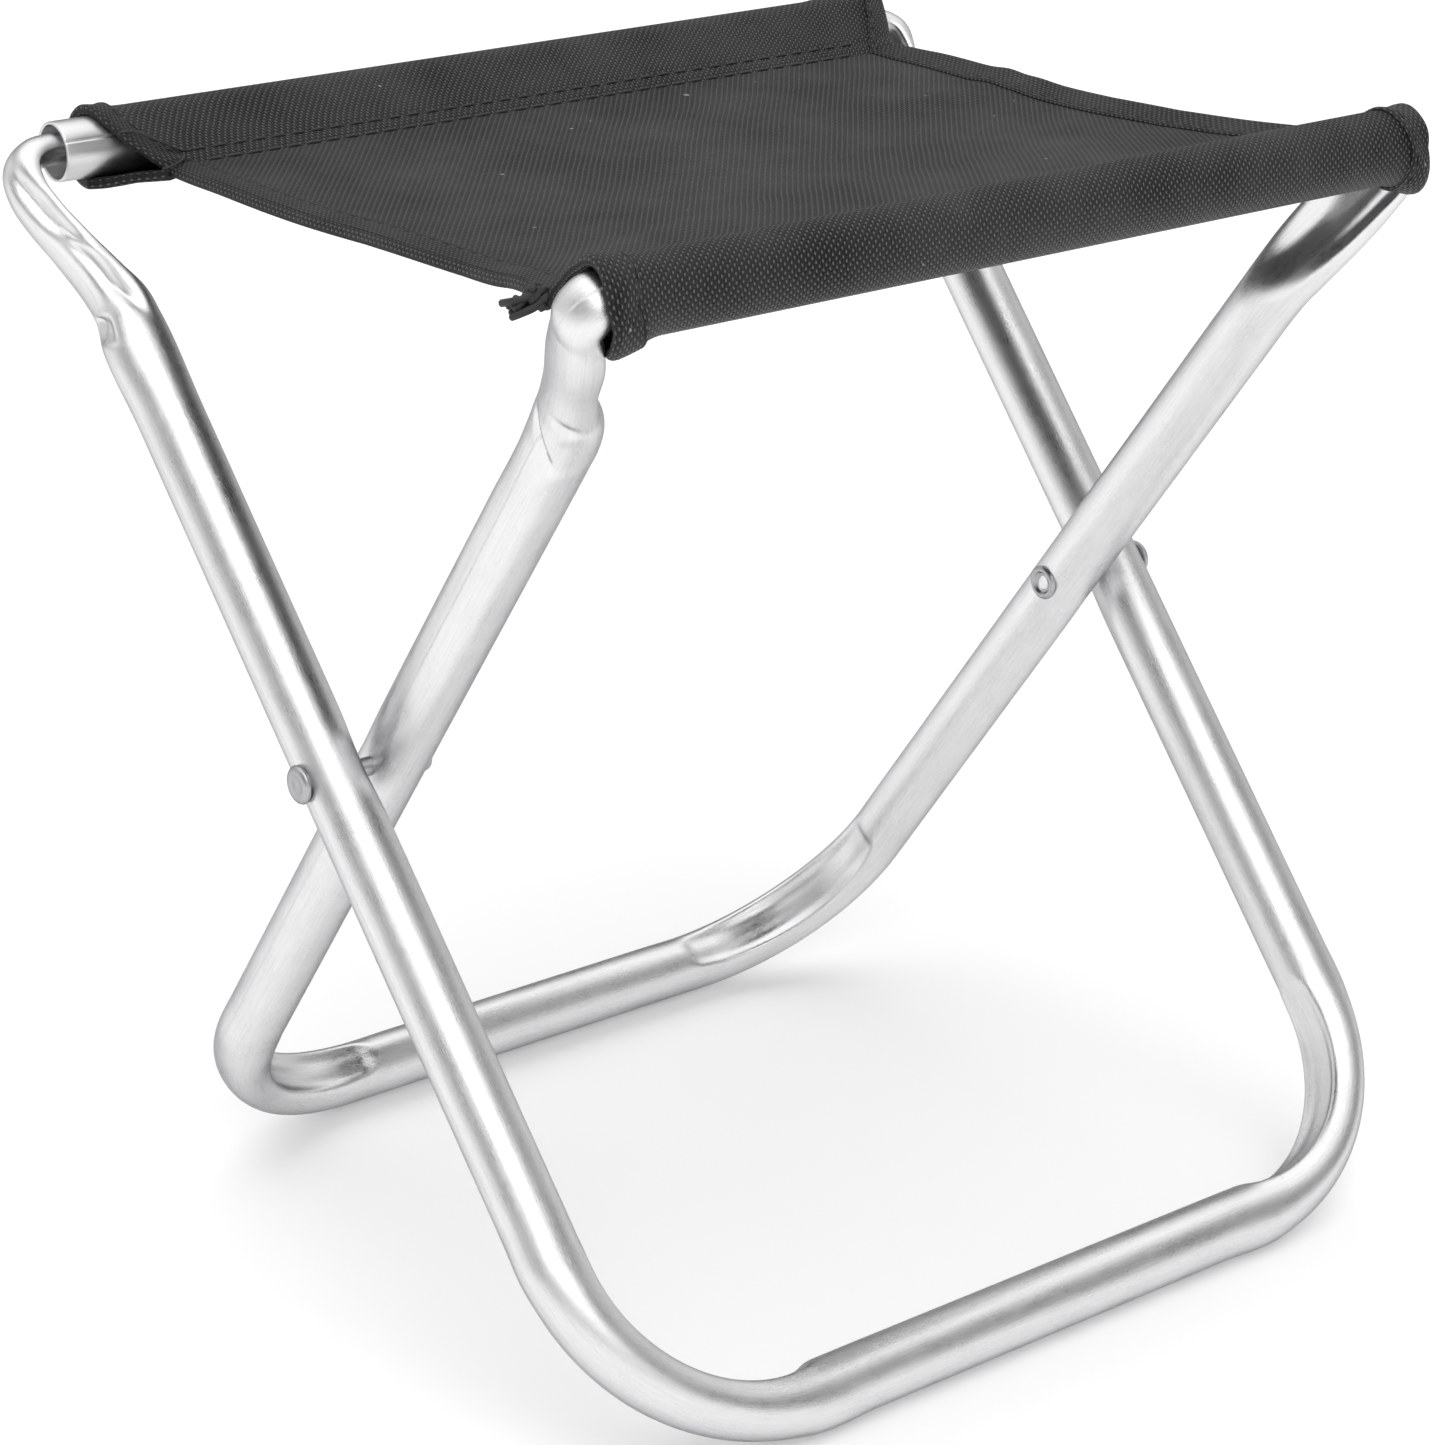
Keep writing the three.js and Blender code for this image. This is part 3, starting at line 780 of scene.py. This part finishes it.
def stitches(name, lines):
    """Sewn stitches as short rounded bars lying along lines of (points, normals)."""
    bar = [(-0.5, 0.05, -0.35), (-0.46, 0.6, -0.2), (-0.36, 0.95, 0.0), (-0.15, 1.0, 0.12),
           (0.15, 1.0, 0.12), (0.36, 0.95, 0.0), (0.46, 0.6, -0.2), (0.5, 0.05, -0.35)]
    sides = 8
    points, faces, uv = [], [], []
    for line, normals in lines:
        at = np.concatenate([[0], np.cumsum(np.linalg.norm(np.diff(line, axis=0), axis=1))])
        for k in range(1, int(at[-1] / STITCH_PITCH)):
            middle = k * STITCH_PITCH + rng.uniform(-0.15, 0.15)
            length = STITCH_LENGTH + rng.uniform(-0.3, 0.3)
            ring_start = len(points)
            for share, size, rise in bar:
                where = middle + share * length
                centre = np.array([np.interp(where, at, line[:, c]) for c in range(3)])
                ahead = np.array([np.interp(where + 0.5, at, line[:, c]) for c in range(3)]) - centre
                up = np.array([np.interp(where, at, normals[:, c]) for c in range(3)])
                side = np.cross(ahead, up)
                side /= np.linalg.norm(side)
                up /= np.linalg.norm(up)
                for j in range(sides):
                    a = 2 * math.pi * j / sides
                    across = math.cos(a) * STITCH_HALF_WIDTH * size
                    height = math.sin(a) * STITCH_HALF_HEIGHT * size + rise
                    points.append(centre + side * across + up * height)
                    uv.append((a, where))
            faces += grid_faces(len(bar), sides, ring_start, around=True)
            faces.append(tuple(ring_start + j for j in reversed(range(sides))))
            end = ring_start + (len(bar) - 1) * sides
            faces.append(tuple(end + j for j in range(sides)))
    return make_mesh(name, points, faces, thread, uv)


def seam_line(seam, side, row):
    """A sewn row across the cloth beside a seam."""
    start = ALONG[np.argmin(np.abs(PLACE - seam))]
    nearest = int(np.argmin(np.abs(ALONG - start - side * row)))
    t = np.linspace(0.035, 0.965, 160)
    x = LEFT_X[:, None] + (RIGHT_X - LEFT_X)[:, None] * t[None, :]
    points, normal = sling_frame(x)
    return points[nearest] + normal[nearest] * CLOTH / 2, normal[nearest]


def cord(name, paths, radius, material):
    """Loose thread ends along smooth paths."""
    sides = 7
    points, faces, uv = [], [], []
    for keys in paths:
        line = spline(keys, 26)
        ahead = np.gradient(line, axis=0)
        ahead /= np.linalg.norm(ahead, axis=1)[:, None]
        side = np.cross(ahead, (0.13, 0.31, 0.94))
        side /= np.linalg.norm(side, axis=1)[:, None]
        up = np.cross(side, ahead)
        ring_start = len(points)
        for i in range(len(line)):
            thick = radius * (0.6 if i in (0, len(line) - 1) else 1.0)
            for j in range(sides):
                a = 2 * math.pi * j / sides
                points.append(line[i] + thick * (side[i] * math.cos(a) + up[i] * math.sin(a)))
                uv.append((a, i * 0.5))
        faces += grid_faces(len(line), sides, ring_start, around=True, flip=True)
        faces.append(tuple(ring_start + j for j in range(sides)))
        end = ring_start + (len(line) - 1) * sides
        faces.append(tuple(end + j for j in reversed(range(sides))))
    return make_mesh(name, points, faces, material, uv)


SIDES = (
    ("left", LEFT_X, 1, LEFT_HEM_WIDTH, -1.6),
    ("right", RIGHT_X, -1, RIGHT_HEM_WIDTH, 2.2),
)

seat = cloth_sheet()
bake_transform(seat)
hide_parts("seat_panel", "outer_sleeve", "inner_sleeve")

for side_name, edge, inward, widths, stand in SIDES:
    side_hem = hem(side_name + "_hem", edge, inward, widths, stand)
    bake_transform(side_hem)
    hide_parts(side_name + "_side_hem", "outer_sleeve_" + side_name + "_hem",
                "inner_sleeve_" + side_name + "_hem")
    row = hem_frame(edge, inward, at_place(widths), 0.83, 0.85, stand)
    sewn = stitches(side_name + "_hem_stitches", [row])
    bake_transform(sewn)
    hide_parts(side_name + "_hem_thread")

for seam_name, body, seam, side in (("outer", "outer_frame", 3, -1), ("inner", "inner_frame", 4, 1)):
    for number, row in enumerate(SEAM_ROWS, 1):
        sewn = stitches(f"{seam_name}_seam_stitches_{number}", [seam_line(seam, side, row)])
        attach(sewn, body)
        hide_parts(f"{seam_name}_seam_thread_{number}")

outer_ends = cord("outer_loose_thread", [
    [(-112.5, 98.0, 272.6), (-109.0, 95.5, 272.6), (-104.0, 92.5, 270.0), (-98.0, 91.2, 267.2),
     (-95.0, 92.0, 267.4)],
    [(-106.5, 88.0, 264.5), (-104.0, 86.0, 265.6), (-101.0, 87.5, 266.2), (-99.0, 90.5, 267.0)],
], 0.32, thread)
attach(outer_ends, "outer_frame")

frayed = []
for k in range(18):
    start = np.array([-113.5, -79.0, 266.3]) + rng.uniform(-1, 1, 3) * (2.2, 3.2, 0.9)
    drop = np.array([-4.6, 4.6, -3.0]) * rng.uniform(0.2, 1.3) + rng.uniform(-1, 1, 3) * (1.2, 2.2, 1.6)
    curl = rng.uniform(-1, 1, (4, 3)) * 1.1
    frayed.append([tuple(start + drop * t + curl[i]) for i, t in enumerate((0.0, 0.4, 0.75, 1.0))])
inner_ends = cord("inner_frayed_corner", frayed, 0.85, thread)
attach(inner_ends, "inner_frame")

# ---------------------------------------------------------------- camera, light and floor


def place_camera():
    location = Vector((-567.484, -719.988 + PIVOT_Y, 458.275)) * MM
    target = Vector((8.499, 22.388 + PIVOT_Y, 115.556)) * MM
    roll = -0.01523
    forward = (target - location).normalized()
    right = forward.cross(Vector((0, 0, 1))).normalized()
    up = right.cross(forward)
    turned_right = right * math.cos(roll) + up * math.sin(roll)
    turned_up = up * math.cos(roll) - right * math.sin(roll)
    camera = bpy.data.objects.new("camera", bpy.data.cameras.new("camera"))
    bpy.context.scene.collection.objects.link(camera)
    rotation = Matrix((turned_right, turned_up, -forward)).transposed().to_4x4()
    camera.matrix_world = Matrix.Translation(location) @ rotation
    camera.data.sensor_width = 36
    camera.data.lens = 97.70
    camera.data.clip_start = 0.02
    camera.data.clip_end = 30
    bpy.context.scene.camera = camera


# Soft patches of the studio round the object: direction, cosines where it fades in and is full, and
# brightness added.
STUDIO_BASE = 0.66
STUDIO_PATCHES = [
    ((0.05, 0.15, 1.0), 0.45, 0.95, 0.55),
    ((-0.28, -0.56, 0.78), 0.88, 0.97, 1.1),
    ((0.58, 0.76, 0.26), 0.84, 0.97, -0.40),
    ((0.62, -0.60, 0.50), 0.80, 0.96, -0.42),
    ((-0.90, -0.12, 0.42), 0.84, 0.96, -0.32),
]
STUDIO_SCALE = 1.16


def studio_world():
    """Light comes from all round: bright overhead and in front, dimmer at both sides."""
    world = bpy.data.worlds.new("studio")
    bpy.context.scene.world = world
    world.use_nodes = True
    tree = world.node_tree
    source = tree.nodes.new("ShaderNodeTexCoord").outputs["Generated"]
    total = None
    for direction, fade, full, add in STUDIO_PATCHES:
        dot = tree.nodes.new("ShaderNodeVectorMath")
        dot.operation = "DOT_PRODUCT"
        tree.links.new(source, dot.inputs[0])
        dot.inputs[1].default_value = Vector(direction).normalized()
        patch = tree.nodes.new("ShaderNodeMapRange")
        patch.interpolation_type = "SMOOTHSTEP"
        tree.links.new(dot.outputs["Value"], patch.inputs["Value"])
        patch.inputs["From Min"].default_value = fade
        patch.inputs["From Max"].default_value = full
        patch.inputs["To Max"].default_value = add
        plus = tree.nodes.new("ShaderNodeMath")
        plus.inputs[0].default_value = STUDIO_BASE
        if total:
            tree.links.new(total, plus.inputs[0])
        tree.links.new(patch.outputs["Result"], plus.inputs[1])
        total = plus.outputs[0]
    background = tree.nodes["Background"]
    tree.links.new(total, background.inputs["Color"])
    background.inputs["Strength"].default_value = STUDIO_SCALE


def studio_floor():
    mesh = bpy.data.meshes.new("floor")
    half, low = 8.0, -0.0006
    mesh.from_pydata([(-half, -half, low), (half, -half, low), (half, half, low), (-half, half, low)], [],
                     [(0, 1, 2, 3)])
    floor = bpy.data.objects.new("floor", mesh)
    bpy.context.scene.collection.objects.link(floor)
    material = bpy.data.materials.new("pale_floor")
    material.use_nodes = True
    shader = material.node_tree.nodes["Principled BSDF"]
    shader.inputs["Base Color"].default_value = (0.95, 0.95, 0.95, 1)
    shader.inputs["Roughness"].default_value = 0.9
    shader.inputs["Specular IOR Level"].default_value = 0.1
    shader.inputs["Emission Color"].default_value = (1, 1, 1, 1)
    shader.inputs["Emission Strength"].default_value = 0.14
    mesh.materials.append(material)


def studio():
    studio_world()
    studio_floor()
    bpy.context.scene.view_settings.view_transform = "Standard"


place_camera()
studio()
